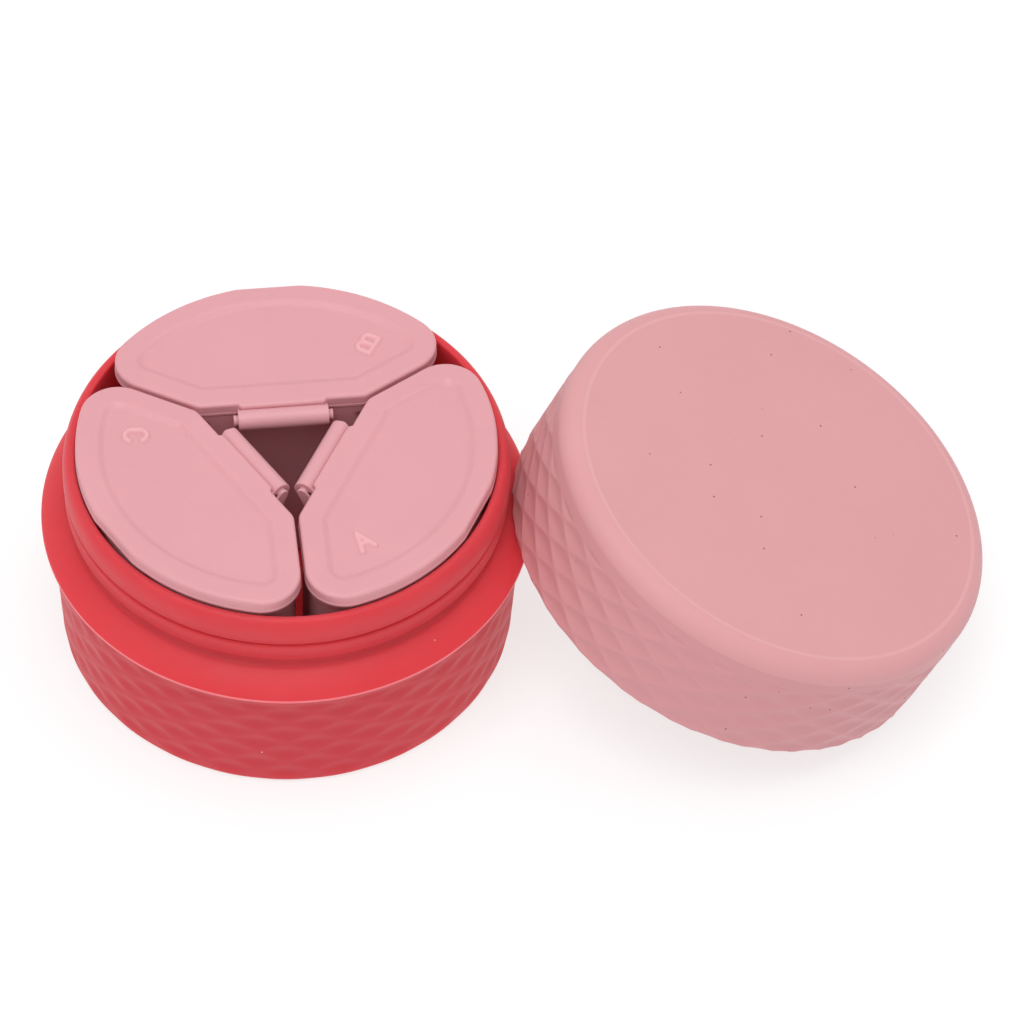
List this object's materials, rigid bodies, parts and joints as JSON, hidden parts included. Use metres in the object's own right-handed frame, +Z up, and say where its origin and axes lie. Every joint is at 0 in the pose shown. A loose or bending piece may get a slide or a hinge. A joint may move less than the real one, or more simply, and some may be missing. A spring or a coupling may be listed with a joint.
{
  "type": "pill organizer",
  "caption": "Round silicone pill case: a quilted cup holding hinged, lettered pill boxes that lift out, with its quilted cap leaning beside it.",
  "frame": {"origin": "centre of the cup's flat bottom face", "axes": "+Z up along the cup's axis, +X towards the cap that leans on the cup"},
  "size_m": [0.1351, 0.07, 0.0416],
  "materials": {
    "coral_silicone": "matte silicone",
    "pink_silicone": "matte silicone",
    "pink_plastic": "satin moulded polypropylene"
  },
  "bodies": {
    "cup": {"base_cup": "coral_silicone"},
    "cap": {"outer_lid": "pink_silicone"},
    "tray_a": {"box_a_tub": "pink_plastic"},
    "tray_b": {"box_b_tub": "pink_plastic"},
    "tray_c": {"box_c_tub": "pink_plastic"},
    "lid_a": {"box_a_lid": "pink_plastic"},
    "lid_b": {"box_b_lid": "pink_plastic"},
    "lid_c": {"box_c_lid": "pink_plastic"}
  },
  "joints": [
    {"name": "box_a_lift", "type": "slide", "parent": "cup", "child": "tray_a", "axis": [0, 0, -1], "range_m": [-0.065, 0]},
    {"name": "box_b_lift", "type": "slide", "parent": "cup", "child": "tray_b", "axis": [0, 0, 1], "range_m": [0, 0.065]},
    {"name": "box_c_lift", "type": "slide", "parent": "cup", "child": "tray_c", "axis": [0, 0, -1], "range_m": [-0.065, 0]},
    {"name": "lid_a_hinge", "type": "hinge", "parent": "tray_a", "child": "lid_a", "pos_m": [0.00508, -0.00211, 0.035], "axis": [-0.3827, -0.9239, 0], "range_deg": [0, 86]},
    {"name": "lid_b_hinge", "type": "hinge", "parent": "tray_b", "child": "lid_b", "pos_m": [-0.00072, 0.00545, 0.035], "axis": [0.9914, 0.1305, 0], "range_deg": [0, 86]},
    {"name": "lid_c_hinge", "type": "hinge", "parent": "tray_c", "child": "lid_c", "pos_m": [-0.00436, -0.00335, 0.035], "axis": [0.6088, -0.7934, 0], "range_deg": [-86, 0]},
    {"name": "cap_lift", "type": "slide", "parent": "cup", "child": "cap", "axis": [0.368, 0.0109, 0.9298], "range_m": [0, 0.06]}
  ]
}
